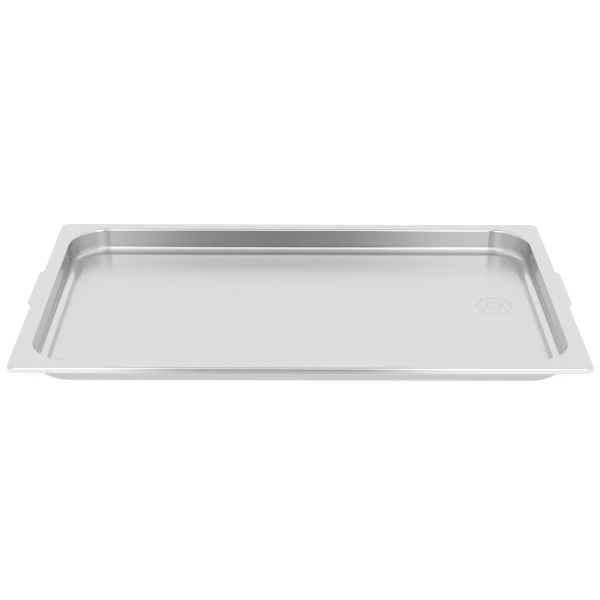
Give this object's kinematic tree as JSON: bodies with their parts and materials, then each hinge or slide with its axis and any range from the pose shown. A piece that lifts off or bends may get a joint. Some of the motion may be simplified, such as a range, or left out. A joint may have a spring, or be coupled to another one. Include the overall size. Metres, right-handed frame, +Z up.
{
  "type": "deli food pan",
  "caption": "Shallow full-size steel food pan for a serving counter or rack, with a flat rim, a turned-down lip, round corners and wire drop handles under its short sides.",
  "frame": {"origin": "centre of the pan's underside, on the surface that it stands on", "axes": "+X along the long side, towards the right-hand handle; +Y across, away from the front; +Z up"},
  "size_m": [0.534, 0.325, 0.0258],
  "materials": {
    "pan_steel": "satin floor and rim, brighter drawn walls",
    "handle_steel": "polished drawn wire",
    "clip_steel": "formed strip, satin"
  },
  "bodies": {
    "pan": {"pan_shell": "pan_steel", "left_front_clip": "clip_steel", "left_rear_clip": "clip_steel", "right_front_clip": "clip_steel", "right_rear_clip": "clip_steel"},
    "left_handle": {"left_handle": "handle_steel"},
    "right_handle": {"right_handle": "handle_steel"}
  },
  "joints": [
    {"name": "left_handle_swing", "type": "hinge", "parent": "pan", "child": "left_handle", "pos_m": [-0.259, 0, 0.02215], "axis": [0, 1, 0], "range_deg": [-28, 93]},
    {"name": "right_handle_swing", "type": "hinge", "parent": "pan", "child": "right_handle", "pos_m": [0.259, 0, 0.02215], "axis": [0, -1, 0], "range_deg": [-28, 93]}
  ]
}
